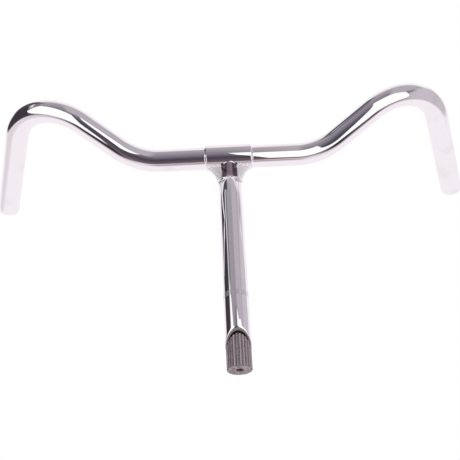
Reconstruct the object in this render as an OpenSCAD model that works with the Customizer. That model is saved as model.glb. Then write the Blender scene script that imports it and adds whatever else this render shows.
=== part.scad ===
// Swept-back city handlebar with a fixed quill stem and an expander wedge.
// +Z runs up along the quill, -Y is the front of the bicycle and X runs across the bar.
// The origin is on the quill's axis, at the lower edge of the stem head.

/* [Bar tube] */
// Outer diameter of the bent bar tube
bar_d = 22.2; // [20:0.1:24]
// Wall of the bar tube
bar_wall = 1.5; // [1:0.1:2.4]
// Height of the bar's middle above the lower edge of the stem head
bar_rise = 28; // [26:0.5:40]
// Length of the straight middle, from one inner bend to the other
middle_len = 136; // [80:1:160]
// Inner bend: radius of the tube's centreline
inner_bend_r = 65; // [50:1:90]
// Inner bend: angle that the tube turns through
inner_bend = 39; // [30:0.5:50]
// Inner bend: how steeply the tube climbs as it leads forwards
inner_tilt = 34.5; // [20:0.5:50]
// Length of the straight ramp between the two bends
ramp_len = 44.5; // [30:0.5:60]
// Outer bend: radius of the tube's centreline
outer_bend_r = 47.5; // [40:0.5:60]
// Outer bend: angle that the tube turns through
outer_bend = 107; // [90:0.5:120]
// Outer bend: turn of its plane about the ramp, from the inner bend's plane
outer_roll = 156.5; // [140:0.5:180]
// Length of each straight grip
grip_len = 107; // [90:1:140]
// Chamfer on the outer edge of each open tube end
end_chamfer = 0.4; // [0.2:0.1:0.8]

/* [Stem head] */
// Length of the sleeve that is brazed round the bar
sleeve_len = 45; // [36:1:56]
// Wall of the sleeve
sleeve_wall = 1.85; // [1.2:0.05:3]
// Wall of the neck round the top of the quill tube
neck_wall = 1.65; // [1.2:0.05:3]
// Rounding of the neck's lower edge
neck_edge_r = 1.2; // [0.6:0.1:1.2]
// Radius of the neck's front and back faces, where it spreads along the sleeve
gusset_face_r = 30; // [26:1:60]
// Reach of the braze fillet from each end of the sleeve along the bar
braze_reach = 1.8; // [1:0.1:3]
// Thickness of the braze fillet at its thin outer edge
braze_edge = 0.2; // [0.1:0.05:0.4]
// Radial gap that the braze fills round each tube
braze_gap = 0.05; // [0.02:0.01:0.1]

/* [Quill tube] */
// Outer diameter of the quill tube
quill_d = 22.2; // [21:0.1:25.4]
// Wall of the quill tube
quill_wall = 2.2; // [1.6:0.1:3]
// How much smaller the quill tube's radius is inside the stem head, above a shoulder
spigot_step = 0.2; // [0.2:0.05:0.4]
// Length of the quill from the stem head to the top of its slanted cut
quill_len = 164; // [120:1:220]
// Angle of the slanted cut, from level
cut_angle = 52; // [40:1:58]

/* [Expander wedge] */
// How much smaller the wedge's radius is than the quill tube's
wedge_inset = 0.4; // [0.2:0.1:1]
// Height that is left at the wedge's low side
wedge_low_h = 1.5; // [1:0.5:8]
// How far the loosened wedge hangs below the slanted cut, straight down
wedge_drop = 4.6; // [1:0.1:8]
// Number of ribs round the wedge
rib_count = 24; // [12:1:30]
// Diameter of the round groove between two ribs
groove_d = 1.8; // [1:0.1:2.2]
// Depth of the groove between two ribs
groove_depth = 0.6; // [0.3:0.1:0.8]

/* [Expander bolt] */
// Thread diameter of the bolt
bolt_d = 8; // [6:1:9]
// Diameter of the bolt's head
head_d = 13; // [12:0.5:14]
// Height of the bolt's head
head_h = 8; // [6:0.5:9]
// Width across the flats of the hexagon socket
hex_key = 6; // [5:1:8]
// Depth of the hexagon socket
hex_depth = 4; // [3:0.5:5]
// Chamfer on the bolt's point and the rim of its head
bolt_chamfer = 0.8; // [0.4:0.1:1.2]
// Height of the bolt's point above the wedge's lower face
point_inset = 4; // [0:0.5:8]
// How far below the bar's middle the bolt's head is seated
seat_drop = 6; // [5:0.5:7.5]
// Radial clearance between the bolt and the wedge's thread
thread_clearance = 0.05; // [0.02:0.01:0.1]
// Radial clearance of the holes that the bolt only passes through
pass_clearance = 0.5; // [0.3:0.1:1]
// Radial clearance of the hole that the bolt's head goes in by
access_clearance = 0.75; // [0.5:0.05:1.5]
// Radial clearance between the saddle washer and that hole
washer_clearance = 0.35; // [0.2:0.05:0.8]
// Gap under the loosened bolt's head and under the saddle washer
seat_gap = 0.05; // [0.02:0.01:0.1]

/* [Hidden] */
$fn = 96;

// Length by which a cutting shape passes the surface that it cuts
over = 1;
// Band that joins a straight to its bend: its length, and how little it stands proud of the tube
band_len = 0.6;
band_step = 0.004;
// Distance by which a straight stops short of its bend, inside the band
band_gap = 0.1;

bar_bore_d = bar_d - 2 * bar_wall;
sleeve_bore_d = bar_d + 2 * braze_gap;
sleeve_r = sleeve_bore_d / 2 + sleeve_wall;
spigot_r = quill_d / 2 - spigot_step;
socket_r = spigot_r + braze_gap;
neck_r = socket_r + neck_wall;
sleeve_bottom = bar_rise - sleeve_r;
// The flare runs from the neck to the sleeve's ends, if the neck is tall enough for it
flare_r = min(sleeve_len / 2 - neck_r, sleeve_bottom - neck_edge_r - over);

pass_r = bolt_d / 2 + pass_clearance;
access_r = head_d / 2 + access_clearance;
seat_z = bar_rise - seat_drop;

wedge_r = quill_d / 2 - wedge_inset;
cut_slope = tan(cut_angle);
// The cut is highest at the front of the tube and falls towards the back
cut_mid_z = -quill_len - quill_d / 2 * cut_slope;
wedge_mid_z = cut_mid_z - wedge_drop;
wedge_bottom = wedge_mid_z - wedge_r * cut_slope - wedge_low_h;
bolt_point = wedge_bottom + point_inset;

// Band round the start of a straight or a bend
module band(d) {
    translate([0, 0, -band_len / 2])
        cylinder(h = band_len, d = d + 2 * band_step);
}

// A straight stretch of round bar along Z; what follows starts at its end
module straight(l, d) {
    band(d);
    translate([0, 0, band_gap])
        cylinder(h = l - 2 * band_gap, d = d);
    translate([0, 0, l]) {
        band(d);
        children();
    }
}

// A bend of radius r from Z towards +X; what follows starts at its end
module bend(angle, r, d) {
    translate([r, 0, 0])
        rotate([90, 0, 180])
            rotate_extrude(angle = angle)
                translate([r, 0])
                    circle(d = d);
    translate([r, 0, 0])
        rotate([0, angle, 0])
            translate([-r, 0, 0])
                children();
}

// One side of the bar as a solid of diameter d, from the end of the middle to where its grip starts
module side_bar(d) {
    translate([middle_len / 2, 0, bar_rise])
        rotate([0, 90, 0])
            rotate(-90 - inner_tilt)
                bend(inner_bend, inner_bend_r, d)
                    straight(ramp_len, d)
                        rotate(-outer_roll)
                            bend(outer_bend, outer_bend_r, d)
                                children();
}

// The whole bar as a solid of diameter d; its children are the grip, along Z
module full_bar(d) {
    translate([-middle_len / 2, 0, bar_rise])
        rotate([0, 90, 0])
            straight(middle_len, d);
    for (side = [0, 1])
        mirror([side, 0, 0])
            side_bar(d)
                children();
}

// Straight grip with a chamfered end
module grip() {
    band(bar_d);
    translate([0, 0, band_gap])
        cylinder(h = grip_len - band_gap - end_chamfer, d = bar_d);
    translate([0, 0, grip_len - end_chamfer])
        cylinder(h = end_chamfer, d1 = bar_d, d2 = bar_d - 2 * end_chamfer);
}

// Bore of the grip, carried past its end
module grip_bore() {
    band(bar_bore_d);
    translate([0, 0, band_gap])
        cylinder(h = grip_len + over, d = bar_bore_d);
}

// Holes for the bolt: a wide one above the bar's middle and a close one below it
module bolt_holes() {
    translate([0, 0, bar_rise])
        cylinder(h = sleeve_r + over, r = access_r);
    translate([0, 0, sleeve_bottom - over])
        cylinder(h = sleeve_r + over, r = pass_r);
}

module handlebar_tube() {
    color("gainsboro")
        difference() {
            full_bar(bar_d)
                grip();
            full_bar(bar_bore_d)
                grip_bore();
            bolt_holes();
        }
}

// Half of the sleeve with its braze fillet, as an outline to turn about the bar's axis
module sleeve_outline() {
    square([sleeve_r, sleeve_len / 2]);
    translate([0, sleeve_len / 2])
        difference() {
            square([sleeve_r, braze_reach]);
            translate([sleeve_bore_d / 2 + braze_edge + braze_reach, braze_reach])
                circle(r = braze_reach);
        }
}

module sleeve() {
    translate([0, 0, bar_rise])
        for (side = [-90, 90])
            rotate([0, side, 0])
                rotate_extrude()
                    sleeve_outline();
}

// Section of the neck, level, where it has spread along the sleeve
module gusset_section() {
    shift = gusset_face_r - neck_r;
    intersection() {
        translate([0, shift])
            circle(r = gusset_face_r);
        translate([0, -shift])
            circle(r = gusset_face_r);
    }
}

// Neck that spreads from the quill tube to the sleeve's ends in a concave flare
module neck() {
    rotate_extrude()
        difference() {
            square([neck_r, sleeve_bottom]);
            difference() {
                translate([neck_r - neck_edge_r, 0])
                    square(neck_edge_r);
                translate([neck_r - neck_edge_r, neck_edge_r])
                    circle(r = neck_edge_r);
            }
        }
    intersection() {
        rotate_extrude()
            difference() {
                translate([0, sleeve_bottom - flare_r])
                    square([neck_r + flare_r, flare_r + sleeve_r]);
                translate([neck_r + flare_r, sleeve_bottom - flare_r])
                    circle(r = flare_r);
            }
        linear_extrude(bar_rise)
            gusset_section();
    }
}

module stem_head() {
    color("silver")
        difference() {
            union() {
                sleeve();
                neck();
            }
            translate([-sleeve_len, 0, bar_rise])
                rotate([0, 90, 0])
                    cylinder(h = 2 * sleeve_len, d = sleeve_bore_d);
            translate([0, 0, -over])
                cylinder(h = sleeve_bottom + over, r = socket_r);
            bolt_holes();
        }
}

// Everything above the slanted plane that crosses the quill's axis at height z
module above_cut(z, top) {
    reach = quill_d + over;
    rotate([90, 0, 90])
        linear_extrude(2 * reach, center = true)
            polygon([
                [-reach, z + reach * cut_slope],
                [reach, z - reach * cut_slope],
                [reach, top],
                [-reach, top]
            ]);
}

// Quill tube before it is bored and cut: a full round body, and the spigot that goes into the head
module quill_round(low_end) {
    shoulder_z = -braze_gap;
    translate([0, 0, low_end])
        cylinder(h = shoulder_z - low_end, d = quill_d);
    translate([0, 0, shoulder_z - over])
        cylinder(h = sleeve_bottom - shoulder_z + over, r = spigot_r);
}

module quill_tube() {
    low_end = cut_mid_z - (quill_d / 2 + over) * cut_slope;
    color("lightgray")
        intersection() {
            difference() {
                quill_round(low_end);
                translate([0, 0, low_end - over])
                    cylinder(h = sleeve_bottom - low_end + 2 * over, d = quill_d - 2 * quill_wall);
            }
            above_cut(cut_mid_z, sleeve_bottom + over);
        }
}

// Washer with a flat seat on top and a round back that lies in the bar's bore
module bolt_washer() {
    washer_r = access_r - washer_clearance;
    color("slategray")
        difference() {
            intersection() {
                translate([-washer_r, 0, bar_rise])
                    rotate([0, 90, 0])
                        cylinder(h = 2 * washer_r, r = bar_bore_d / 2 - seat_gap);
                translate([0, 0, seat_z - bar_bore_d])
                    cylinder(h = bar_bore_d, r = washer_r);
            }
            translate([0, 0, seat_z - bar_bore_d - over])
                cylinder(h = bar_bore_d + 2 * over, r = pass_r);
        }
}

module expander_bolt() {
    shank_r = bolt_d / 2 - thread_clearance;
    head_z = seat_z + seat_gap;
    color("dimgray")
        difference() {
            rotate_extrude()
                polygon([
                    [0, bolt_point],
                    [shank_r - bolt_chamfer, bolt_point],
                    [shank_r, bolt_point + bolt_chamfer],
                    [shank_r, head_z],
                    [head_d / 2, head_z],
                    [head_d / 2, head_z + head_h - bolt_chamfer],
                    [head_d / 2 - bolt_chamfer, head_z + head_h],
                    [0, head_z + head_h]
                ]);
            translate([0, 0, head_z + head_h - hex_depth])
                cylinder(h = hex_depth + over, d = hex_key / cos(30), $fn = 6);
        }
}

// Outline of the ribbed wedge, seen from below
module ribbed_round() {
    difference() {
        circle(r = wedge_r);
        for (i = [0 : rib_count - 1])
            rotate(i * 360 / rib_count)
                translate([0, wedge_r - groove_depth + groove_d / 2])
                    circle(d = groove_d, $fn = 24);
    }
}

module expander_wedge() {
    wedge_top = wedge_mid_z + (wedge_r + over) * cut_slope;
    color("gray")
        difference() {
            translate([0, 0, wedge_bottom])
                linear_extrude(wedge_top - wedge_bottom)
                    ribbed_round();
            above_cut(wedge_mid_z, wedge_top + (quill_d + over) * cut_slope);
            translate([0, 0, wedge_bottom - over])
                cylinder(h = wedge_top - wedge_bottom + 2 * over, d = bolt_d);
        }
}

handlebar_tube();
stem_head();
quill_tube();
bolt_washer();
expander_bolt();
expander_wedge();
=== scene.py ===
# Swept-back city handlebar with its quill stem, chromed, hung in a white studio
import bpy
import bmesh
import math
import numpy as np
from mathutils import Matrix, Vector


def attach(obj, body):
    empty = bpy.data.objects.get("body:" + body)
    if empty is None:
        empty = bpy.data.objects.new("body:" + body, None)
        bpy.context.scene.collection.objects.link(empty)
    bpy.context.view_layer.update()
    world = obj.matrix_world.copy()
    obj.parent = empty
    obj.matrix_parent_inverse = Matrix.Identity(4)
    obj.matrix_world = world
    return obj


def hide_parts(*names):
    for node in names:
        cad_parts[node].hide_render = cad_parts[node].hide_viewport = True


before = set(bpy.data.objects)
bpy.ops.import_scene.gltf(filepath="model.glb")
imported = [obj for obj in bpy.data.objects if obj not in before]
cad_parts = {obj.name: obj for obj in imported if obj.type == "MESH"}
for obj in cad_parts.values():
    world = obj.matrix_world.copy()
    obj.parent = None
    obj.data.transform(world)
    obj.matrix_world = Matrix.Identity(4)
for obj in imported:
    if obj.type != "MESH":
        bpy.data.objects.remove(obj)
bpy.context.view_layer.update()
mm = 0.001


def linear(hexColour):
    # sRGB hex to linear, with alpha
    made = []
    for i in (0, 2, 4):
        c = int(hexColour[i:i + 2], 16) / 255
        made.append(c / 12.92 if c <= 0.04045 else ((c + 0.055) / 1.055) ** 2.4)
    return (*made, 1.0)


def wire(tree, node, inputs):
    # an input is a value, or a socket to link
    for key, value in inputs.items():
        if isinstance(value, bpy.types.NodeSocket):
            tree.links.new(value, node.inputs[key])
        else:
            node.inputs[key].default_value = value


def addNode(tree, kind, inputs=None, **settings):
    node = tree.nodes.new(kind)
    for key, value in settings.items():
        setattr(node, key, value)
    wire(tree, node, inputs or {})
    return node


# Camera: below the bar and in front of it, looking up
view = dict(place=(-0.00445, -0.53479, -0.41646), turn=-0.225, tilt=33.74, roll=-2.82, lens=53.98, sensor=36,
            near=0.01)
camera = bpy.data.objects.new("camera", bpy.data.cameras.new("camera"))
bpy.context.scene.collection.objects.link(camera)
camera.data.lens = view["lens"]
camera.data.sensor_width = view["sensor"]
camera.data.clip_start = view["near"]
camera.matrix_world = (
    Matrix.Translation(view["place"])
    @ Matrix.Rotation(math.radians(view["turn"]), 4, "Z")
    @ Matrix.Rotation(math.radians(90 + view["tilt"]), 4, "X")
    @ Matrix.Rotation(math.radians(view["roll"]), 4, "Z")
)
bpy.context.scene.camera = camera
bpy.context.scene.view_settings.view_transform = "Standard"


# Studio: a white surround with a dim room in front of the bar. The hung panels are far away; their corners are
# directions: degrees round from the front (-Y, then towards +X) and degrees up. A panel is its name, colour,
# strength, soft edge in degrees, and corners; a later one hangs over the ones before it.
studio = dict(
    surround="faf4f8", surroundLevel=1.04,
    roomRamp=[(-100, "d0c2c6"), (-90, "b4a4a6"), (-80, "988a8c"), (-70, "7c7072"), (-50, "847e84"),
              (-20, "8c8892"), (-4, "88828c"), (10, "8e868e"), (30, "a09aa0"), (50, "aca6aa"), (64, "b4aeb2"),
              (78, "ece6ea"), (90, "ffffff")],
    roomSpan=100,
    roomPlanes=[((0, -1, 0), 0.2), ((0, 0, -1), 0.93), ((0, 0, 1), 0.93)],
    roomSoft=6,
    panels=[
        ("leftWall", "ece4e8", 0.95, 8, [(-85, 20), (-112, 18), (-122, -10), (-112, -46), (-84, -50), (-80, -20)]),
        ("rightWall", "cdc6cc", 1.0, 5, [(34, 6), (50, 24), (58, 60), (105, 60), (112, 20), (104, -30), (90, -50),
                                         (60, -40), (34, 0)]),
        ("frontRight", "beb6bc", 1.0, 6, [(4, 60), (64, 58), (48, 18), (34, -4), (4, 0)]),
        ("leftFlagTop", "4e4e52", 1.0, 4, [(-158, 47), (-130, 62), (-100, 66), (-60, 62), (-38, 54), (-36, 45),
                                           (-66, 44), (-112, 42)]),
        ("leftFlag", "403c40", 1.0, 3, [(-120, 28), (-112, 46), (-69, 46), (-62, 26), (-60, 6), (-66, -14),
                                        (-76, -36), (-98, -8)]),
        ("leftShade", "7c7a84", 1.0, 2, [(-57, 44), (-42, 44), (-42, 24), (-54, 24)]),
        ("leftLine", "f2f0f4", 1.0, 1, [(-62, 46), (-57, 46), (-54, 24), (-59, 24)]),
        ("leftSkirtOuter", "2a282e", 1.0, 3, [(-98, -54), (-64, -64), (-64, -76), (-90, -71)]),
        ("leftSkirtInner", "2a282e", 1.0, 3, [(-68, -64), (-30, -66), (-10, -62), (-12, -67), (-36, -74),
                                              (-68, -76)]),
        ("rightSkirtOuter", "302c32", 1.0, 3, [(98, -55), (64, -65), (64, -76), (90, -71)]),
        ("rightSkirtInner", "302c32", 1.0, 3, [(68, -65), (30, -66), (10, -60), (12, -67), (36, -74), (68, -77)]),
        ("studioFloor", "b8a8ac", 1.0, 4, [(0, -77), (45, -79), (90, -80), (135, -80), (180, -81), (-135, -80),
                                           (-90, -80), (-45, -79)]),
    ],
)
# Front of the light tent, just before the bar: white cloth each side of the dark slit that the picture is taken
# through. Corners are (x, z) in metres at this distance along -Y; a shade changes with height z.
tent = dict(
    distance=0.36, layerGap=0.002,
    cloths=[
        ("leftCloth", [(-3, "ffffff"), (0.3, "ffffff")], 1.15,
         [(-0.1, -0.07), (-0.26, 0.05), (-0.44, 0.2), (-0.6, 0.17), (-0.85, 0.1), (-0.95, -0.25), (-1.15, -0.8),
          (-1.6, -1.9), (-0.5, -1.1), (-0.1, -0.62), (0.03, -0.6), (0.03, -0.06)]),
        ("rightCloth", [(-3, "ffffff"), (0.3, "ffffff")], 1.15,
         [(-0.02, 0.035), (0.1, 0.02), (0.25, 0.05), (0.38, 0.02), (0.52, -0.15), (0.85, -0.58), (1.2, -1.1),
          (1.6, -2.0), (0.5, -1.15), (0.1, -0.62), (-0.02, -0.6)]),
        ("slit", [(-1.3, "887478"), (-0.75, "6a6064"), (-0.47, "60545a"), (-0.32, "544a52"), (-0.21, "4a4650"),
                  (-0.13, "5e5b67"), (-0.06, "6e6a78"), (0.0, "827c86"), (0.04, "8a828c")], 1.0,
         [(-0.12, 0.03), (0.0, 0.04), (0.015, -0.09), (0.03, -0.15), (0.045, -0.24), (0.06, -0.36), (0.085, -0.6),
          (0.2, -1.0), (0.3, -1.4), (-0.4, -1.4), (-0.26, -0.85), (-0.15, -0.52), (-0.125, -0.3), (-0.125, -0.1)]),
    ],
)


def direction(turn, up):
    a, b = math.radians(turn), math.radians(up)
    return Vector((math.sin(a) * math.cos(b), -math.cos(a) * math.cos(b), math.sin(b)))


def shadeRamp(tree, value, stops, low, high, unit=1.0):
    # the colour of a value between low and high, from stops of (value, colour)
    along = addNode(tree, "ShaderNodeMapRange", {"Value": value, "From Min": low * unit, "From Max": high * unit})
    ramp = addNode(tree, "ShaderNodeValToRGB", {"Fac": along.outputs["Result"]})
    while len(ramp.color_ramp.elements) < len(stops):
        ramp.color_ramp.elements.new(0.5)
    for element, (at, colour) in zip(ramp.color_ramp.elements, stops):
        element.position = (at - low) / (high - low)
        element.color = linear(colour)
    return ramp.outputs["Color"]


def hangStudio():
    world = bpy.data.worlds.new("studio")
    bpy.context.scene.world = world
    world.use_nodes = True
    tree = world.node_tree
    tree.nodes.clear()
    ray = addNode(tree, "ShaderNodeTexCoord").outputs["Generated"]
    # the room's own shade goes by height: degrees up from below, through the front, to overhead
    part = addNode(tree, "ShaderNodeSeparateXYZ", {0: ray}).outputs
    front = addNode(tree, "ShaderNodeMath", {0: part["Y"], 1: -1.0}, operation="MULTIPLY").outputs[0]
    height = addNode(tree, "ShaderNodeMath", {0: part["Z"], 1: front}, operation="ARCTAN2").outputs[0]
    room = shadeRamp(tree, height, studio["roomRamp"], -studio["roomSpan"], studio["roomSpan"], math.radians(1))
    layers = [(studio["roomPlanes"], studio["roomSoft"], room)]
    for name, colour, strength, soft, corners in studio["panels"]:
        points = [direction(*c) for c in corners]
        middle = sum(points, Vector())
        planes = []
        for a, b in zip(points, points[1:] + points[:1]):
            normal = a.cross(b).normalized()
            planes.append((normal if normal.dot(middle) > 0 else -normal, 0))
        layers.append((planes, soft, [c * strength for c in linear(colour)[:3]] + [1]))

    picture = [c * studio["surroundLevel"] for c in linear(studio["surround"])[:3]] + [1]
    for planes, soft, colour in layers:
        # a layer shows where the ray is inside all its planes, with a soft edge
        inside = None
        for normal, offset in planes:
            side = addNode(tree, "ShaderNodeVectorMath", {0: ray, 1: normal}, operation="DOT_PRODUCT").outputs["Value"]
            if offset:
                side = addNode(tree, "ShaderNodeMath", {0: side, 1: offset}, operation="ADD").outputs[0]
            if inside is not None:
                side = addNode(tree, "ShaderNodeMath", {0: inside, 1: side}, operation="MINIMUM").outputs[0]
            inside = side
        edge = math.sin(math.radians(soft))
        shown = addNode(tree, "ShaderNodeMapRange", {"Value": inside, "From Min": -edge, "From Max": edge},
                        interpolation_type="SMOOTHSTEP").outputs["Result"]
        picture = addNode(tree, "ShaderNodeMix", {"Factor": shown, 6: picture, 7: colour}, data_type="RGBA").outputs[2]
    seen = addNode(tree, "ShaderNodeLightPath").outputs["Is Camera Ray"]
    white = (1, 1, 1, 1)
    picture = addNode(tree, "ShaderNodeMix", {"Factor": seen, 6: picture, 7: white}, data_type="RGBA").outputs[2]
    back = addNode(tree, "ShaderNodeBackground", {"Color": picture})
    addNode(tree, "ShaderNodeOutputWorld", {"Surface": back.outputs[0]})


hangStudio()

# Floor: pale paper far below the bar
floorMade = dict(level=-0.75, size=6.0, colour="f4f2f3", rough=0.9)


def layFloor():
    h, z = floorMade["size"] / 2, floorMade["level"]
    mesh = bpy.data.meshes.new("studioFloor")
    mesh.from_pydata([(-h, -h, z), (h, -h, z), (h, h, z), (-h, h, z)], [], [(0, 1, 2, 3)])
    obj = bpy.data.objects.new("studioFloor", mesh)
    bpy.context.scene.collection.objects.link(obj)
    paper = bpy.data.materials.new("paleFloorPaper")
    paper.use_nodes = True
    shader = paper.node_tree.nodes["Principled BSDF"]
    shader.inputs["Base Color"].default_value = linear(floorMade["colour"])
    shader.inputs["Roughness"].default_value = floorMade["rough"]
    mesh.materials.append(paper)
    obj.visible_glossy = False  # the studio's own lower half is what the chrome mirrors


def hangTent():
    for layer, (name, shades, level, corners) in enumerate(tent["cloths"]):
        y = -tent["distance"] + tent["layerGap"] * layer
        mesh = bpy.data.meshes.new(name)
        mesh.from_pydata([(x, y, z) for x, z in corners], [], [tuple(range(len(corners)))])
        obj = bpy.data.objects.new(name, mesh)
        bpy.context.scene.collection.objects.link(obj)
        cloth = bpy.data.materials.new(name)
        cloth.use_nodes = True
        tree = cloth.node_tree
        tree.nodes.clear()
        place = addNode(tree, "ShaderNodeTexCoord").outputs["Object"]
        height = addNode(tree, "ShaderNodeSeparateXYZ", {0: place}).outputs["Z"]
        colour = shadeRamp(tree, height, shades, shades[0][0], shades[-1][0])
        glow = addNode(tree, "ShaderNodeEmission", {"Color": colour, "Strength": level})
        addNode(tree, "ShaderNodeOutputMaterial", {"Surface": glow.outputs[0]})
        mesh.materials.append(cloth)
        # only seen mirrored in the chrome
        obj.visible_camera = obj.visible_diffuse = obj.visible_transmission = obj.visible_shadow = False


layFloor()
hangTent()
print("studio ready")


def newMaterial(name):
    made = bpy.data.materials.new(name)
    made.use_nodes = True
    tree = made.node_tree
    shader = tree.nodes["Principled BSDF"]
    place = addNode(tree, "ShaderNodeTexCoord").outputs["Object"]
    return made, tree, shader, place


def maskOf(tree, *bands, edge="SMOOTHSTEP"):
    # 1 where each value has passed from the first to the second of its two limits in mm
    whole = None
    for value, (start, end) in bands:
        step = addNode(tree, "ShaderNodeMapRange", {"Value": value, "From Min": start * mm, "From Max": end * mm},
                       interpolation_type=edge).outputs["Result"]
        if whole is not None:
            step = addNode(tree, "ShaderNodeMath", {0: whole, 1: step}, operation="MULTIPLY").outputs[0]
        whole = step
    return whole


def clouds(tree, place, size, limits, edge="LINEAR"):
    # soft patches of this size in mm, from 0 to 1 between two limits of the noise
    noise = addNode(tree, "ShaderNodeTexNoise", {"Vector": place, "Scale": 1 / (size * mm), "Detail": 4.0})
    return addNode(tree, "ShaderNodeMapRange", {"Value": noise.outputs["Fac"], "From Min": limits[0],
                                                "From Max": limits[1]}, interpolation_type=edge).outputs["Result"]


def relief(tree, place, size, detail, height, under=None):
    # fine unevenness of this size and height in mm, on top of a coarser one
    noise = addNode(tree, "ShaderNodeTexNoise", {"Vector": place, "Scale": 1 / (size * mm), "Detail": detail})
    inputs = {"Height": noise.outputs["Fac"], "Distance": height * mm, **({"Normal": under} if under else {})}
    return addNode(tree, "ShaderNodeBump", inputs).outputs[0]


def fromAxis(tree, part):
    # distance from the quill's axis
    flat = addNode(tree, "ShaderNodeCombineXYZ", {"X": part["X"], "Y": part["Y"]}).outputs[0]
    return addNode(tree, "ShaderNodeVectorMath", {0: flat}, operation="LENGTH").outputs["Value"]


# Bright chrome plate over polished steel tube: a mirror whose reflections are faintly wavy from the polishing wheel,
# with a thin haze in places and the finest wiping scratches. Sizes and limits are in mm.
chromeLook = dict(
    clear="f3f2f5", hazed="e9e8ec", clearRough=0.025, hazeRough=0.06, hazeSize=22, haze=(0.5, 0.8),
    waveSize=14, waveHeight=0.008, scratchSize=0.9, scratchHeight=0.00025,
    # the two dark colours on the next line are painted shade for the boss under the sleeve: the lighter one for its
    # middle, the darker one for its flanks
    thin="b0a0a8", thinner="5c5058", bossAside=(8.0, 7.0), flankAside=(2.0, 3.6),
    neckTop=(16.6, 15.6), neckLow=(-2.9, -1.8),
    satin="fffcff", satinRough=0.6, webAside=(7.6, 8.6),
    bare="a89c9a", bareRough=0.5, bareMetallic=0.5, bareReach=(10.8, 10.6), bareBelow=-30,
)


def brightChrome(name, thin=False):
    made, tree, shader, place = newMaterial(name)
    look = chromeLook
    haze = clouds(tree, place, look["hazeSize"], look["haze"], "SMOOTHSTEP")
    colour = addNode(tree, "ShaderNodeMix", {"Factor": haze, 6: linear(look["clear"]), 7: linear(look["hazed"])},
                     data_type="RGBA").outputs[2]
    rough = addNode(tree, "ShaderNodeMapRange", {"Value": haze, "To Min": look["clearRough"],
                                                 "To Max": look["hazeRough"]}).outputs["Result"]
    part = addNode(tree, "ShaderNodeSeparateXYZ", {0: place}).outputs
    if thin:
        # painted shade: the boss under the sleeve is coloured dark, lighter in the middle and darkest on its flanks,
        # to stand for the shade and dark reflections in that recess
        aside = addNode(tree, "ShaderNodeMath", {0: part["X"]}, operation="ABSOLUTE").outputs[0]
        neck = ((part["Z"], look["neckTop"]), (part["Z"], look["neckLow"]))
        onBoss = maskOf(tree, (aside, look["bossAside"]), *neck)
        flank = maskOf(tree, (aside, look["flankAside"]))
        paintedShadeColour = addNode(tree, "ShaderNodeMix", {"Factor": flank, 6: linear(look["thin"]), 7: linear(look["thinner"])},
                        data_type="RGBA").outputs[2]
        colour = addNode(tree, "ShaderNodeMix", {"Factor": onBoss, 6: colour, 7: paintedShadeColour}, data_type="RGBA").outputs[2]
        # the webs beside it are only satin, so they show no picture of the room
        onWebs = maskOf(tree, (aside, look["webAside"]), *neck)
        colour = addNode(tree, "ShaderNodeMix", {"Factor": onWebs, 6: colour, 7: linear(look["satin"])},
                         data_type="RGBA").outputs[2]
        rough = addNode(tree, "ShaderNodeMapRange", {"Value": onWebs, "To Min": rough,
                                                     "To Max": look["satinRough"]}).outputs["Result"]
    # inside the quill and on its cut the steel is bare and dull
    bare = maskOf(tree, (fromAxis(tree, part), look["bareReach"]), edge="LINEAR")
    deep = addNode(tree, "ShaderNodeMath", {0: part["Z"], 1: look["bareBelow"] * mm}, operation="LESS_THAN").outputs[0]
    bare = addNode(tree, "ShaderNodeMath", {0: bare, 1: deep}, operation="MULTIPLY").outputs[0]
    colour = addNode(tree, "ShaderNodeMix", {"Factor": bare, 6: colour, 7: linear(look["bare"])},
                     data_type="RGBA").outputs[2]
    rough = addNode(tree, "ShaderNodeMapRange", {"Value": bare, "To Min": rough,
                                                 "To Max": look["bareRough"]}).outputs["Result"]
    metal = addNode(tree, "ShaderNodeMapRange", {"Value": bare, "To Min": 1.0,
                                                 "To Max": look["bareMetallic"]}).outputs["Result"]
    bump = relief(tree, place, look["waveSize"], 1.0, look["waveHeight"])
    bump = relief(tree, place, look["scratchSize"], 3.0, look["scratchHeight"], bump)
    wire(tree, shader, {"Base Color": colour, "Roughness": rough, "Normal": bump, "Metallic": metal})
    return made


# Zinc-plated steel: slightly blue satin grey, mottled in small cloudy patches, with a fine grain
zincLook = dict(dark="9ea3ab", light="c3c6cc", patch=2.6, cloud=1.7, mottleFrom=0.1, mottleTo=0.5, grain=0.25,
                grainHeight=0.004, smoothest=0.26, roughest=0.44)


def zincPlate():
    made, tree, shader, place = newMaterial("zincPlatedSteel")
    look = zincLook
    cell = addNode(tree, "ShaderNodeTexVoronoi", {"Vector": place, "Scale": 1 / (look["patch"] * mm)},
                   feature="SMOOTH_F1").outputs["Distance"]
    cloud = addNode(tree, "ShaderNodeTexNoise", {"Vector": place, "Scale": 1 / (look["patch"] * look["cloud"] * mm),
                                                 "Detail": 3.0}).outputs["Fac"]
    mottle = addNode(tree, "ShaderNodeMath", {0: cell, 1: cloud}, operation="MULTIPLY").outputs[0]
    mottle = addNode(tree, "ShaderNodeMapRange", {"Value": mottle, "From Min": look["mottleFrom"],
                                                  "From Max": look["mottleTo"]}).outputs["Result"]
    colour = addNode(tree, "ShaderNodeMix", {"Factor": mottle, 6: linear(look["dark"]), 7: linear(look["light"])},
                     data_type="RGBA").outputs[2]
    rough = addNode(tree, "ShaderNodeMapRange", {"Value": mottle, "To Min": look["roughest"],
                                                 "To Max": look["smoothest"]}).outputs["Result"]
    bump = relief(tree, place, look["grain"], 2.0, look["grainHeight"])
    wire(tree, shader, {"Base Color": colour, "Roughness": rough, "Normal": bump, "Metallic": 1.0})
    return made


# Bare wedge metal: dull grey-brown with the casting's grain, grime down in the grooves, rubbed paler on the ribs
wedgeLook = dict(dull="867a80", pale="b4a8ae", blotchSize=2.4, blotch=(0.4, 0.6), metallic=0.6,
                 grime="857b80", grimeReach=(10.6, 10.1), skin=10.05, rubbed="bcb0b6", crest=(10.58, 10.68),
                 leastRubbed=0.55, rough=0.5, rubbedRough=0.3, grain=0.5, grainHeight=0.03)


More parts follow.
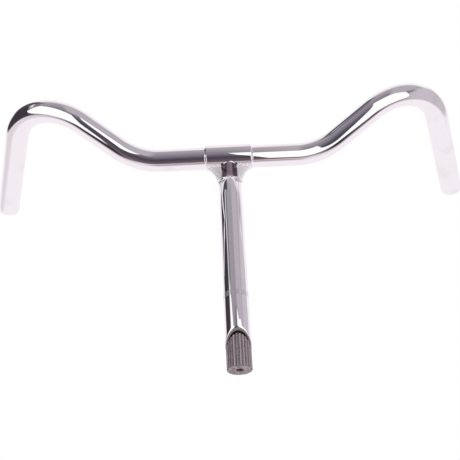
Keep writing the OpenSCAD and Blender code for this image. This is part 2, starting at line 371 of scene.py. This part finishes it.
def bareWedgeMetal():
    made, tree, shader, place = newMaterial("bareWedgeMetal")
    look = wedgeLook
    blotch = clouds(tree, place, look["blotchSize"], look["blotch"])
    colour = addNode(tree, "ShaderNodeMix", {"Factor": blotch, 6: linear(look["dull"]), 7: linear(look["pale"])},
                     data_type="RGBA").outputs[2]
    reach = fromAxis(tree, addNode(tree, "ShaderNodeSeparateXYZ", {0: place}).outputs)
    grimy = maskOf(tree, (reach, look["grimeReach"]))
    onSkin = addNode(tree, "ShaderNodeMath", {0: reach, 1: look["skin"] * mm}, operation="GREATER_THAN").outputs[0]
    grimy = addNode(tree, "ShaderNodeMath", {0: grimy, 1: onSkin}, operation="MULTIPLY").outputs[0]
    colour = addNode(tree, "ShaderNodeMix", {"Factor": grimy, 6: colour, 7: linear(look["grime"])},
                     data_type="RGBA").outputs[2]
    worn = addNode(tree, "ShaderNodeMapRange", {"Value": blotch, "To Min": 1.0,
                                                "To Max": look["leastRubbed"]}).outputs["Result"]
    crest = maskOf(tree, (reach, look["crest"]), edge="LINEAR")
    worn = addNode(tree, "ShaderNodeMath", {0: crest, 1: worn}, operation="MULTIPLY").outputs[0]
    colour = addNode(tree, "ShaderNodeMix", {"Factor": worn, 6: colour, 7: linear(look["rubbed"])},
                     data_type="RGBA").outputs[2]
    rough = addNode(tree, "ShaderNodeMapRange", {"Value": worn, "To Min": look["rough"],
                                                 "To Max": look["rubbedRough"]}).outputs["Result"]
    bump = relief(tree, place, look["grain"], 3.0, look["grainHeight"])
    wire(tree, shader, {"Base Color": colour, "Roughness": rough, "Normal": bump, "Metallic": look["metallic"]})
    return made


chrome = brightChrome("brightChromePlate")
# the stem head's chrome has painted shade on the boss under the sleeve
headChrome = brightChrome("chromeWithPaintedShadeOnBoss", thin=True)
zinc = zincPlate()
wedgeMetal = bareWedgeMetal()


def newPiece(name, points, faces, material, edges=()):
    mesh = bpy.data.meshes.new(name)
    mesh.from_pydata([tuple(p) for p in points], edges, [tuple(f) for f in faces])
    mesh.materials.append(material)
    obj = bpy.data.objects.new(name, mesh)
    bpy.context.scene.collection.objects.link(obj)
    return obj


def smooth(obj, angle=40):
    obj.data.shade_smooth()
    bm = bmesh.new()
    bm.from_mesh(obj.data)
    for edge in bm.edges:
        edge.smooth = len(edge.link_faces) < 2 or edge.calc_face_angle(0) < math.radians(angle)
    bm.to_mesh(obj.data)
    bm.free()


def settle(obj):
    # the evaluated shape as a plain mesh, with no modifier left
    bpy.context.view_layer.update()
    shape = bpy.data.meshes.new_from_object(obj.evaluated_get(bpy.context.evaluated_depsgraph_get()))
    obj.modifiers.clear()
    old = obj.data
    obj.data = shape
    bpy.data.meshes.remove(old)
    return obj


def cutBy(obj, cutters):
    for cutter in cutters:
        cut = obj.modifiers.new("cut", "BOOLEAN")
        cut.operation = "DIFFERENCE"
        cut.solver = "EXACT"
        cut.object = cutter
    settle(obj)
    for cutter in cutters:
        bpy.data.objects.remove(cutter)


def lathe(name, rows, sides, material, ring=True, slope=0.0):
    # Turned about the quill's axis from rows of (radius, height) in mm. A third value, the slant, makes the row fall
    # towards the back. A ring joins its last row to the first; anything else has a flat face at both ends.
    points, faces = [], []
    for radius, z, *slant in rows:
        for j in range(sides):
            a = 2 * math.pi * j / sides
            x, y = radius * math.cos(a), radius * math.sin(a)
            points.append((x * mm, y * mm, (z - sum(slant) * y * slope) * mm))
    for i in range(len(rows) if ring else len(rows) - 1):
        k = (i + 1) % len(rows)
        for j in range(sides):
            n = (j + 1) % sides
            faces.append((i * sides + j, i * sides + n, k * sides + n, k * sides + j))
    if not ring:
        faces.append(tuple(range(sides)))
        faces.append(tuple((len(rows) - 1) * sides + j for j in range(sides)))
    return faceOut(newPiece(name, points, faces, material))


def faceOut(obj):
    bm = bmesh.new()
    bm.from_mesh(obj.data)
    bmesh.ops.remove_doubles(bm, verts=bm.verts, dist=1e-6)
    bmesh.ops.recalc_face_normals(bm, faces=bm.faces)
    bm.to_mesh(obj.data)
    bm.free()
    return obj


# Bar tube: one bent tube, the same route on both sides
bar = dict(outside=22.2, wall=1.5, rise=28, middle=136, innerRadius=65, innerBend=39, innerTilt=34.5,
           ramp=44.5, outerRadius=47.5, outerBend=107, outerRoll=156.5, grip=107, lip=0.4, sides=112,
           innerStep=1.2, outerStep=1.0, rampRows=8, gripRows=16, access=7.25, passing=4.5, cutReach=14, cutSides=96)
# Rows round a quarter of a lip, and the degrees between them
quarter = (1, 2, 3, 4)
quarterStep = 22.5


def barRoute():
    # from the middle of the bar out to the end of the right grip, in mm
    place = (Matrix.Translation((bar["middle"] / 2, 0, bar["rise"]))
             @ Matrix.Rotation(math.radians(90), 4, "Y")
             @ Matrix.Rotation(math.radians(-90 - bar["innerTilt"]), 4, "Z"))
    points = [Vector((x, 0, bar["rise"])) for x in (0, 8, 16, 24, 32, 40, 48, 56, 62)]

    def bend(place, radius, angle, step):
        count = round(math.radians(angle) * radius / step)
        for i in range(count + 1):
            t = math.radians(angle) * i / count
            points.append(place @ Vector((radius - radius * math.cos(t), 0, radius * math.sin(t))))
        return (place @ Matrix.Translation((radius, 0, 0)) @ Matrix.Rotation(math.radians(angle), 4, "Y")
                @ Matrix.Translation((-radius, 0, 0)))

    place = bend(place, bar["innerRadius"], bar["innerBend"], bar["innerStep"])
    for i in range(1, bar["rampRows"]):
        points.append(place @ Vector((0, 0, bar["ramp"] * i / bar["rampRows"])))
    place = place @ Matrix.Translation((0, 0, bar["ramp"])) @ Matrix.Rotation(math.radians(-bar["outerRoll"]), 4, "Z")
    place = bend(place, bar["outerRadius"], bar["outerBend"], bar["outerStep"])
    for i in range(1, bar["gripRows"] + 1):
        points.append(place @ Vector((0, 0, (bar["grip"] - bar["lip"]) * i / bar["gripRows"])))
    return points


def newTree(name, sockets):
    # an empty tree with its named inputs, and the outputs of its input node
    tree = bpy.data.node_groups.new(name, "GeometryNodeTree")
    tree.is_modifier = True
    tree.interface.new_socket("Geometry", in_out="OUTPUT", socket_type="NodeSocketGeometry")
    for socket, kind in {"Geometry": "Geometry", **sockets, "Finish": "Material"}.items():
        tree.interface.new_socket(socket, in_out="INPUT", socket_type="NodeSocket" + kind)
    return tree, addNode(tree, "NodeGroupInput").outputs


def endTree(tree, shape, finish):
    real = addNode(tree, "GeometryNodeRealizeInstances", {"Geometry": shape}).outputs[0]
    done = addNode(tree, "GeometryNodeSetMaterial", {"Geometry": real, "Material": finish}).outputs[0]
    addNode(tree, "NodeGroupOutput", {0: done})
    return tree


def sweepTree():
    tree, given = newTree("sweptTube", {"Outside Radius": "Float", "Bore Radius": "Float", "Sides": "Int"})
    route = addNode(tree, "GeometryNodeMeshToCurve", {"Mesh": given["Geometry"]}).outputs[0]
    skins = []
    for radius in (given["Outside Radius"], given["Bore Radius"]):
        ring = addNode(tree, "GeometryNodeCurvePrimitiveCircle", {"Resolution": given["Sides"], "Radius": radius})
        skins.append(addNode(tree, "GeometryNodeCurveToMesh", {"Curve": route, "Profile Curve": ring.outputs[0]}))
    bore = addNode(tree, "GeometryNodeFlipFaces", {"Mesh": skins[1].outputs[0]}).outputs[0]
    both = addNode(tree, "GeometryNodeJoinGeometry", {"Geometry": skins[0].outputs[0]})
    tree.links.new(bore, both.inputs["Geometry"])
    return endTree(tree, both.outputs[0], given["Finish"])


def applyTree(obj, tree, values):
    layer = obj.modifiers.new(tree.name, "NODES")
    layer.node_group = tree
    for item in tree.interface.items_tree:
        if item.item_type == "SOCKET" and item.in_out == "INPUT" and item.name in values:
            layer[item.identifier] = values[item.name]
    return settle(obj)


def closeEnds(obj, ends, outside, bore, lip):
    # a rounded lip round each open end, from the outer skin to the bore
    bm = bmesh.new()
    bm.from_mesh(obj.data)
    for centre, axis in ends:
        side = axis.orthogonal().normalized()
        other = axis.cross(side)
        loose = {v for e in bm.edges if e.is_boundary for v in e.verts if (v.co - centre).length < 1.5 * outside}

        def ordered(r):
            ring = [v for v in loose if abs((v.co - centre).length - r) < 0.1 * mm]
            return sorted(ring, key=lambda v: math.atan2((v.co - centre).dot(side), (v.co - centre).dot(other)))

        outer, inner = ordered(outside), ordered(bore)
        sizes = []
        for r, sign, order in ((outside, -1, quarter), (bore, 1, quarter[::-1])):
            for k in order:
                a = math.radians(quarterStep * k)
                sizes.append((r + sign * lip * (1 - math.cos(a)), lip * math.sin(a)))
        rings = [outer]
        for r, out in sizes:
            rings.append([bm.verts.new(centre + (v.co - centre).normalized() * r + axis * out) for v in outer])
        rings.append(inner)
        count = len(outer)
        for one, two in zip(rings, rings[1:]):
            for j in range(count):
                n = (j + 1) % count
                bm.faces.new((one[j], one[n], two[n], two[j]))
    bmesh.ops.recalc_face_normals(bm, faces=bm.faces)
    bm.to_mesh(obj.data)
    bm.free()


def roundCutter(name, radius, low, high):
    return lathe(name, [(radius, low), (radius, high)], bar["cutSides"], chrome, ring=False)


def makeBar():
    half = barRoute()
    route = [Vector((-p.x, p.y, p.z)) for p in half[:0:-1]] + half
    obj = newPiece("barTube", [p * mm for p in route], [], chrome, [(i, i + 1) for i in range(len(route) - 1)])
    outside = bar["outside"] / 2 * mm
    bore = outside - bar["wall"] * mm
    applyTree(obj, sweepTree(), {"Outside Radius": outside, "Bore Radius": bore, "Sides": bar["sides"],
                                 "Finish": chrome})
    ends = [(points[0] * mm, (points[0] - points[1]).normalized()) for points in (route, route[::-1])]
    closeEnds(obj, ends, outside, bore, bar["lip"] * mm)
    cutBy(obj, [roundCutter("accessCut", bar["access"], bar["rise"], bar["rise"] + bar["cutReach"]),
                roundCutter("passCut", bar["passing"], bar["rise"] - bar["cutReach"], bar["rise"])])
    smooth(obj)
    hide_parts("handlebar_tube")
    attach(obj, "root")
    print("bar tube", len(obj.data.polygons), "faces")


makeBar()


# Stem head: sleeve brazed round the bar, a boss for the bolt below it, and a tapered web each side down to the quill
head = dict(rise=28, sleeveLength=45, sleeveRadius=13, barRadius=11.1, filletReach=1.8, edgeRound=0.35, blend=0.6,
            low=-4.2, shoulder=-2.3, shoulderRound=0.9, shoulderRim=0.6, flareRadius=25, flareAside=37,
            flareLevel=-5.4, boss=7.4, bossBlend=0.9, webLow=9.0, webHigh=3.6, webTop=15, webCorner=2.6, webBlend=1.0,
            neckStart=1.2, bite=0.7, socketGap=0.04, socketTop=-3.3, hole=7.25, holeRound=0.4, passHole=4.5, step=0.42,
            boxLow=(-25.2, -14.2, -6.0), boxHigh=(25.2, 14.2, 42.0), crease=50)
# The quill is pinched in front and back just below the head, more and more from low up to high
pinch = dict(low=-25, high=-3.4, depth=3.4, keen=0.8)


def pinched(x, y, z, radius, rim=0.0):
    # distance outside the pinched section, in mm
    t = np.clip((z - pinch["low"]) / (pinch["high"] - pinch["low"]), 0, 1) ** 2
    deep = radius - pinch["depth"] * t
    power = 2 - pinch["keen"] * t
    ring = ((np.abs(x) / radius) ** power + (np.abs(y) / deep) ** power + 1e-9) ** (1 / power)
    return (ring - 1) * deep - rim


def headField(p):
    # signed distance in mm, below zero inside the metal
    x, y, z = p[..., 0], p[..., 1], p[..., 2]
    rise, half = head["rise"], head["sleeveLength"] / 2

    def softMin(a, b, k):
        h = np.clip(0.5 + 0.5 * (b - a) / k, 0, 1)
        return b + (a - b) * h - k * h * (1 - h)

    def softMax(a, b, k):
        return -softMin(-a, -b, k)

    def box2(u, v, hu, hv, r):
        a, b = np.abs(u) - hu + r, v - hv + r
        return np.hypot(np.maximum(a, 0), np.maximum(b, 0)) + np.minimum(np.maximum(a, b), 0) - r

    rho = np.hypot(y, z - rise)
    sleeve = box2(x, rho, half, head["sleeveRadius"], head["edgeRound"])
    reach = head["filletReach"]
    fillet = np.maximum.reduce([np.abs(x) - half - reach, rho - head["barRadius"] - reach,
                                reach - np.hypot(np.abs(x) - half - reach, rho - head["barRadius"] - reach)])
    sleeve = np.minimum(sleeve, fillet)

    # half width of the webs: an arc out to the sleeve's ends; they grow thinner upwards
    arc = np.sqrt(np.maximum(head["flareRadius"] ** 2 - (z - head["flareLevel"]) ** 2, 0))
    wide = np.minimum(head["flareAside"] - arc, half)
    up = np.clip((z - head["low"]) / (head["webTop"] - head["low"]), 0, 1)
    thick = head["webLow"] + (head["webHigh"] - head["webLow"]) * up
    corner = head["webCorner"]
    web = (((np.abs(x) / wide) ** corner + (np.abs(y) / thick) ** corner + 1e-9) ** (1 / corner) - 1) * thick
    span = np.maximum(z - rise, head["low"] + head["neckStart"] - z)
    web = np.maximum(web, span)
    flat = np.hypot(x, y)
    boss = np.maximum(flat - head["boss"], span)
    r = head["shoulderRound"]
    tall = (head["shoulder"] - head["low"]) / 2
    a = pinched(x, y, z, bar["outside"] / 2, head["shoulderRim"]) + r
    b = np.abs(z - head["low"] - tall) - tall + r
    shoulder = np.hypot(np.maximum(a, 0), np.maximum(b, 0)) + np.minimum(np.maximum(a, b), 0) - r
    neck = softMin(softMin(shoulder, web, head["webBlend"]), boss, head["bossBlend"])
    body = softMin(sleeve, neck, head["blend"])
    body = np.maximum(body, -rho + head["barRadius"] - head["bite"])
    socket = np.maximum(pinched(x, y, z, bar["outside"] / 2, head["socketGap"]), z - head["socketTop"])
    body = np.maximum(body, -socket)
    access = np.maximum(flat - head["hole"], rise - z)
    body = softMax(body, -access, head["holeRound"])
    through = np.maximum(flat - head["passHole"], z - rise)
    return np.maximum(body, -through)


# How a netted mesh is pulled onto its surface
pull = dict(rounds=6, part=0.8, reach=0.01, least=0.25)


def netted(field, low, high, step):
    # closed quad mesh of a field's zero surface, pulled onto it
    axes = [np.arange(l, h + step, step) for l, h in zip(low, high)]
    grid = np.stack(np.meshgrid(*axes, indexing="ij"), -1)
    value = field(grid)
    inside = value < 0
    counts = np.array(value.shape) - 1
    corner = [(i, j, k) for i in (0, 1) for j in (0, 1) for k in (0, 1)]

    def at(a, c):
        return a[c[0]:c[0] + counts[0], c[1]:c[1] + counts[1], c[2]:c[2] + counts[2]]

    total = np.zeros((*counts, 3))
    hits = np.zeros(counts)
    for a in corner:
        for axis in range(3):
            if a[axis]:
                continue
            b = tuple(v + (i == axis) for i, v in enumerate(a))
            va, vb = at(value, a), at(value, b)
            cross = (va < 0) != (vb < 0)
            t = np.where(cross, va / np.where(cross, va - vb, 1), 0)
            spot = np.zeros((*counts, 3)) + np.array(a)
            spot[..., axis] += t
            total += np.where(cross[..., None], spot, 0)
            hits += cross
    cells = hits > 0
    index = -np.ones(counts, int)
    index[cells] = np.arange(cells.sum())
    where = np.argwhere(cells)
    points = np.array(low) + (where + total[cells] / hits[cells][:, None]) * step
    faces = []
    for axis in range(3):
        u, v = [(1, 2), (2, 0), (0, 1)][axis]
        one = [slice(None)] * 3
        two = [slice(None)] * 3
        one[axis], two[axis] = slice(0, -1), slice(1, None)
        a, b = inside[tuple(one)], inside[tuple(two)]
        for flip, change in ((False, a & ~b), (True, ~a & b)):
            spots = np.argwhere(change)
            spots = spots[(spots[:, u] > 0) & (spots[:, v] > 0)]
            quad = []
            for du, dv in ((-1, -1), (0, -1), (0, 0), (-1, 0)):
                s = spots.copy()
                s[:, u] += du
                s[:, v] += dv
                quad.append(index[s[:, 0], s[:, 1], s[:, 2]])
            quad = np.stack(quad, 1)
            faces.append(quad[:, ::-1] if flip else quad)
    faces = np.concatenate(faces)
    for _ in range(pull["rounds"]):
        base = field(points)
        slopes = []
        for shift in np.eye(3) * pull["reach"]:
            slopes.append((field(points + shift) - field(points - shift)) / (2 * pull["reach"]))
        slope = np.stack(slopes, -1)
        size = np.maximum((slope ** 2).sum(-1), pull["least"])
        points = points - pull["part"] * (base / size)[:, None] * slope
    return points, faces


def makeHead():
    points, faces = netted(headField, head["boxLow"], head["boxHigh"], head["step"])
    obj = newPiece("stemHead", points * mm, faces.tolist(), headChrome)
    faceOut(obj)
    smooth(obj, head["crease"])
    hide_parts("stem_head")
    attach(obj, "root")
    print("stem head", len(obj.data.polygons), "faces")


makeHead()


# Quill tube: round tube, drawn in below the head and cut off at a slant, with a ring of fine engraved strokes as
# its depth mark
quill = dict(outside=22.2, wall=2.2, top=-3.4, length=164, cutAngle=52, lip=0.6, sides=192,
             strokes=72, strokeWidth=0.42, strokeDepth=0.18, strokeHeight=5.2, markLevel=-130.4,
             bevel=0.1, straight=152, pinchStep=0.7, pinchRows=31, pinchZone=22, plainRows=34, cutRows=8,
             boreRows=20, crease=30)


def strokeTree():
    tree, given = newTree("strokeRing", {"Stroke Count": "Int", "Ring Radius": "Float", "Ring Level": "Float",
                                         "Stroke Size": "Vector"})
    count = given["Stroke Count"]
    ring = addNode(tree, "GeometryNodeMeshCircle", {"Vertices": count, "Radius": given["Ring Radius"]}).outputs[0]
    lift = addNode(tree, "ShaderNodeCombineXYZ", {"Z": given["Ring Level"]}).outputs[0]
    ring = addNode(tree, "GeometryNodeSetPosition", {"Geometry": ring, "Offset": lift}).outputs[0]
    index = addNode(tree, "GeometryNodeInputIndex").outputs[0]
    turn = addNode(tree, "ShaderNodeMath", {0: index, 1: count}, operation="DIVIDE").outputs[0]
    turn = addNode(tree, "ShaderNodeMath", {0: turn, 1: 2 * math.pi, 2: math.pi / 4},
                   operation="MULTIPLY_ADD").outputs[0]  # a stroke's edge points in, not its face
    aim = addNode(tree, "ShaderNodeCombineXYZ", {"Z": turn}).outputs[0]
    bit = addNode(tree, "GeometryNodeMeshCube", {"Size": given["Stroke Size"]}).outputs[0]
    strokes = addNode(tree, "GeometryNodeInstanceOnPoints", {"Points": ring, "Instance": bit, "Rotation": aim})
    return endTree(tree, strokes.outputs[0], given["Finish"])


def makeQuill():
    r, bore = quill["outside"] / 2, quill["outside"] / 2 - quill["wall"]
    slope = math.tan(math.radians(quill["cutAngle"]))
    middle = -quill["length"] - r * slope
    lip, steep = quill["lip"], 1 / math.cos(math.radians(quill["cutAngle"]))
    top, zone = quill["top"], quill["pinchZone"]
    start = top - quill["straight"]
    plain, cut, back = quill["plainRows"], quill["cutRows"], quill["boreRows"]
    rows = [(r - quill["bevel"], top), (r, top - quill["bevel"])]
    rows += [(r, top - quill["pinchStep"] * i) for i in range(1, quill["pinchRows"] + 1)]
    rows += [(r, top - zone + (start - top + zone) * i / plain) for i in range(1, plain + 1)]
    rows += [(r, start + (middle + lip * steep - start) * i / cut, i / cut) for i in range(1, cut + 1)]
    for radius, sign, order in ((r, -1, quarter), (bore, 1, (*quarter[::-1], 0))):
        for k in order:
            a = math.radians(quarterStep * k)
            rows.append((radius + sign * lip * (1 - math.cos(a)), middle + lip * steep * (1 - math.sin(a)), 1))
    rows += [(bore, start + (middle + lip * steep - start) * (1 - i / cut), 1 - i / cut) for i in range(1, cut + 1)]
    rows += [(bore, start + (top - start) * i / back) for i in range(1, back + 1)]
    obj = lathe("quillTube", rows, quill["sides"], chrome, slope=slope)
    for v in obj.data.vertices:
        # the round tube is drawn in to the pinched section
        out = math.hypot(v.co.x, v.co.y) / mm
        if v.co.z > pinch["low"] * mm:
            fit = out / (out + float(pinched(v.co.x / mm, v.co.y / mm, v.co.z / mm, out)))
            v.co.x, v.co.y = v.co.x * fit, v.co.y * fit
    bit = quill["strokeWidth"]
    strokes = applyTree(newPiece("strokeCutters", [], [], chrome), strokeTree(), {
        "Stroke Count": quill["strokes"], "Ring Radius": (r + bit / math.sqrt(2) - quill["strokeDepth"]) * mm,
        "Ring Level": quill["markLevel"] * mm, "Stroke Size": (bit * mm, bit * mm, quill["strokeHeight"] * mm),
        "Finish": chrome})
    cutBy(obj, [strokes])
    smooth(obj, quill["crease"])
    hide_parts("quill_tube")
    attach(obj, "root")
    print("quill tube", len(obj.data.polygons), "faces")


makeQuill()


# Round grooves by angle: they are pressed into whatever stands further out than the groove does
def grooveTree():
    tree, given = newTree("groovesByAngle", {"Groove Count": "Int", "Body Radius": "Float", "Groove Radius": "Float",
                                             "Groove Depth": "Float", "Lowest": "Float"})
    place = addNode(tree, "GeometryNodeInputPosition").outputs[0]
    part = addNode(tree, "ShaderNodeSeparateXYZ", {0: place}).outputs
    known = {"x": part["X"], "y": part["Y"], "z": part["Z"], "count": given["Groove Count"],
             "body": given["Body Radius"], "groove": given["Groove Radius"], "depth": given["Groove Depth"],
             "lowest": given["Lowest"]}
    # steps of (result, operation, values): a value is a number, or the name of an earlier result
    steps = (
        ("xx", "MULTIPLY", "x", "x"), ("yy", "MULTIPLY", "y", "y"), ("square", "ADD", "xx", "yy"),
        ("reach", "SQRT", "square"), ("pitch", "DIVIDE", 2 * math.pi, "count"),
        ("most", "MULTIPLY", "pitch", 0.5), ("least", "MULTIPLY", "pitch", -0.5),
        ("angle", "ARCTAN2", "y", "x"), ("turn", "WRAP", "angle", "most", "least"),
        ("aside", "MULTIPLY", "turn", "body"), ("asideSquare", "MULTIPLY", "aside", "aside"),
        ("grooveSquare", "MULTIPLY", "groove", "groove"), ("rest", "SUBTRACT", "grooveSquare", "asideSquare"),
        ("inGroove", "MAXIMUM", "rest", 0.0), ("deep", "SQRT", "inGroove"), ("outer", "ADD", "body", "groove"),
        ("centre", "SUBTRACT", "outer", "depth"), ("wall", "SUBTRACT", "centre", "deep"),
        ("pressed", "MINIMUM", "reach", "wall"), ("was", "MAXIMUM", "reach", 1e-6),
        ("scale", "DIVIDE", "pressed", "was"), ("newX", "MULTIPLY", "x", "scale"),
        ("newY", "MULTIPLY", "y", "scale"), ("picked", "GREATER_THAN", "z", "lowest"),
    )
    for result, operation, *values in steps:
        inputs = {i: known[v] if isinstance(v, str) else v for i, v in enumerate(values)}
        known[result] = addNode(tree, "ShaderNodeMath", inputs, operation=operation).outputs[0]
    moved = addNode(tree, "ShaderNodeCombineXYZ", {"X": known["newX"], "Y": known["newY"], "Z": known["z"]}).outputs[0]
    grooved = addNode(tree, "GeometryNodeSetPosition", {"Geometry": given["Geometry"], "Selection": known["picked"],
                                                        "Position": moved}).outputs[0]
    return endTree(tree, grooved, given["Finish"])


grooves = grooveTree()

# Expander wedge: ribbed round block with a slanted top, hanging below the quill's cut on its bolt
wedge = dict(radius=10.7, lowHeight=1.5, drop=4.6, ribs=24, groove=0.9, grooveDepth=0.6, bore=4.0, mouth=3.0,
             mouthHeight=0.9, mouthBevel=0.3, bottomBevel=0.45, topBevel=0.3, topFall=1.6, sides=576, sideRows=16,
             lowRing=6.8, lowInset=0.75, topRing=7.0, topInset=0.9, boreBevel=0.4, boreEdge=0.6, boreRows=6,
             lowest=-1.0, crease=25)


def makeWedge():
    slope = math.tan(math.radians(quill["cutAngle"]))
    r, bore, mouth = wedge["radius"], wedge["bore"], wedge["mouth"]
    middle = -quill["length"] - quill["outside"] / 2 * slope - wedge["drop"]
    low = middle - r * slope - wedge["lowHeight"]
    bevel, edge, inner = wedge["bottomBevel"], wedge["topBevel"], wedge["boreEdge"]
    side, back = wedge["sideRows"], wedge["boreRows"]
    rows = [(mouth, low + wedge["mouthBevel"]), (mouth + wedge["mouthBevel"], low), (wedge["lowRing"], low),
            (r - wedge["lowInset"], low), (r - bevel, low), (r - 0.3 * bevel, low + 0.3 * bevel), (r, low + bevel)]
    under = middle - edge * wedge["topFall"]
    rows += [(r, low + bevel + (under - low - bevel) * i / side) for i in range(1, side + 1)]
    rows += [(r - edge * 0.4, middle - edge * 0.5), (r - edge, middle), (r - wedge["topInset"], middle),
             (wedge["topRing"], middle), (bore + wedge["boreBevel"], middle), (bore, middle - inner)]
    floor = low + wedge["mouthHeight"]
    rows += [(bore, floor + inner + (middle - inner - floor - inner) * (1 - i / back)) for i in range(1, back + 1)]
    rows += [(bore, floor), (mouth, floor)]
    obj = lathe("expanderWedge", rows, wedge["sides"], wedgeMetal)
    applyTree(obj, grooves, {"Groove Count": wedge["ribs"], "Body Radius": r * mm,
                             "Groove Radius": wedge["groove"] * mm, "Groove Depth": wedge["grooveDepth"] * mm,
                             "Lowest": wedge["lowest"], "Finish": wedgeMetal})
    for v in obj.data.vertices:
        # grooved as a straight block first, then leant over, so that its top stays one plane
        lean = min(max((v.co.z / mm - low - bevel) / (under - low - bevel), 0), 1)
        v.co.z -= lean * v.co.y * slope
    smooth(obj, wedge["crease"])
    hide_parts("expander_wedge")
    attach(obj, "wedge")
    print("wedge", len(obj.data.polygons), "faces")


makeWedge()


# Expander bolt: socket head with a knurled rim, plain shank, and a rolled thread above its dog point
bolt = dict(shank=3.95, shankRows=30, core=3.25, crest=3.93, pitch=1.25, turns=30, threadLow=-188.4, threadDeep=1.25,
            threadWide=0.9, threadSlim=0.14, turnSteps=36, runOut=(0.8, 1.5), point=-194.0, pointBevel=0.5, dog=2.75,
            dogTop=-189.4, dogEdge=0.6, head=6.5, headLow=22.05, headTop=30.05, knurls=48, knurlRadius=0.35,
            knurlDepth=0.14, knurlStart=0.5, hexKey=6.0, hexDepth=4.0, sides=288, toolSides=48, crease=30,
            # the head's rows as (inward, up from its lower face) and (inward, down from its top)
            headLower=[(0.25, 0), (0, 0.25), (0, 0.9)], headUpper=[(0, 1.3), (0.15, 0.75), (0.8, 0), (1.6, 0)],
            drillPoint=0.2, drillDeep=1.4, drillInward=0.15, drillOver=0.1,
            rimOutward=(0.05, 1.1), rimDeep=0.45, rimOver=0.6)


def threadTree():
    tree, given = newTree("rolledThread", {"Turns": "Float", "Pitch": "Float", "Core Radius": "Float",
                                           "Crest Radius": "Float", "Start Level": "Float"})
    crest, pitch = given["Crest Radius"], given["Pitch"]
    height = addNode(tree, "ShaderNodeMath", {0: given["Turns"], 1: pitch}, operation="MULTIPLY").outputs[0]
    depth = addNode(tree, "ShaderNodeMath", {0: crest, 1: given["Core Radius"]}, operation="SUBTRACT").outputs[0]
    deeper = addNode(tree, "ShaderNodeMath", {0: depth, 1: bolt["threadDeep"]}, operation="MULTIPLY").outputs[0]
    middle = addNode(tree, "ShaderNodeMath", {0: deeper, 1: -0.5, 2: crest}, operation="MULTIPLY_ADD").outputs[0]
    helix = addNode(tree, "GeometryNodeCurveSpiral", {
        "Resolution": bolt["turnSteps"], "Rotations": given["Turns"], "Start Radius": middle, "End Radius": middle,
        "Height": height}).outputs[0]
    upright = addNode(tree, "GeometryNodeSetCurveNormal", {"Curve": helix}, mode="Z_UP").outputs[0]
    wide = addNode(tree, "ShaderNodeMath", {0: pitch, 1: bolt["threadWide"]}, operation="MULTIPLY").outputs[0]
    slim = addNode(tree, "ShaderNodeMath", {0: pitch, 1: bolt["threadSlim"]}, operation="MULTIPLY").outputs[0]
    ridge = addNode(tree, "GeometryNodeCurvePrimitiveQuadrilateral", {
        "Height": deeper, "Bottom Width": wide, "Top Width": slim, "Offset": 0.0}, mode="TRAPEZOID").outputs[0]
    # turned with its slim side outwards
    ridge = addNode(tree, "GeometryNodeTransform", {"Geometry": ridge, "Rotation": (0, 0, math.pi / 2)})
    wound = addNode(tree, "GeometryNodeCurveToMesh", {
        "Curve": upright, "Profile Curve": ridge.outputs[0], "Fill Caps": True}).outputs[0]
    lift = addNode(tree, "ShaderNodeCombineXYZ", {"Z": given["Start Level"]}).outputs[0]
    wound = addNode(tree, "GeometryNodeSetPosition", {"Geometry": wound, "Offset": lift}).outputs[0]
    both = addNode(tree, "GeometryNodeJoinGeometry", {"Geometry": given["Geometry"]})
    tree.links.new(wound, both.inputs["Geometry"])
    return endTree(tree, both.outputs[0], given["Finish"])


def makeBolt():
    top, low, r = bolt["headTop"], bolt["headLow"], bolt["head"]
    threadTop = bolt["threadLow"] + bolt["turns"] * bolt["pitch"]
    coreEnd, shankStart = (threadTop + up for up in bolt["runOut"])
    tip, dog, dogTop, shank = bolt["pointBevel"], bolt["dog"], bolt["dogTop"], bolt["shank"]
    rows = [(dog - tip, bolt["point"]), (dog, bolt["point"] + tip), (dog, dogTop),
            (bolt["core"], dogTop + bolt["dogEdge"]), (bolt["core"], coreEnd), (shank, shankStart)]
    count = bolt["shankRows"]
    rows += [(shank, shankStart + (low - shankStart) * i / count) for i in range(1, count + 1)]
    rows += [(r - inward, low + up) for inward, up in bolt["headLower"]]
    rows += [(r - inward, top - down) for inward, down in bolt["headUpper"]]
    obj = lathe("expanderBolt", rows, bolt["sides"], zinc, ring=False)
    applyTree(obj, grooves, {"Groove Count": bolt["knurls"], "Body Radius": r * mm,
                             "Groove Radius": bolt["knurlRadius"] * mm, "Groove Depth": bolt["knurlDepth"] * mm,
                             "Lowest": (low + bolt["knurlStart"]) * mm, "Finish": zinc})
    flat, floor, sides = bolt["hexKey"] / 2, top - bolt["hexDepth"], bolt["toolSides"]
    across = flat / math.cos(math.pi / 6)
    drill = [(bolt["drillPoint"], floor - bolt["drillDeep"]), (flat - bolt["drillInward"], floor + bolt["drillOver"])]
    near, far = bolt["rimOutward"]
    rim = [(flat + near, top - bolt["rimDeep"]), (flat + far, top + bolt["rimOver"])]
    cutBy(obj, [lathe("hexBit", [(across, floor), (across, top + 1)], 6, zinc, ring=False),
                lathe("drillBit", drill, sides, zinc, ring=False), lathe("rimBit", rim, sides, zinc, ring=False)])
    applyTree(obj, threadTree(), {"Turns": float(bolt["turns"]), "Pitch": bolt["pitch"] * mm,
                                  "Core Radius": bolt["core"] * mm, "Crest Radius": bolt["crest"] * mm,
                                  "Start Level": bolt["threadLow"] * mm, "Finish": zinc})
    smooth(obj, bolt["crease"])
    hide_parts("expander_bolt")
    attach(obj, "bolt")
    print("bolt", len(obj.data.polygons), "faces")


makeBolt()

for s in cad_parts["bolt_washer"].material_slots:
    s.material = zinc
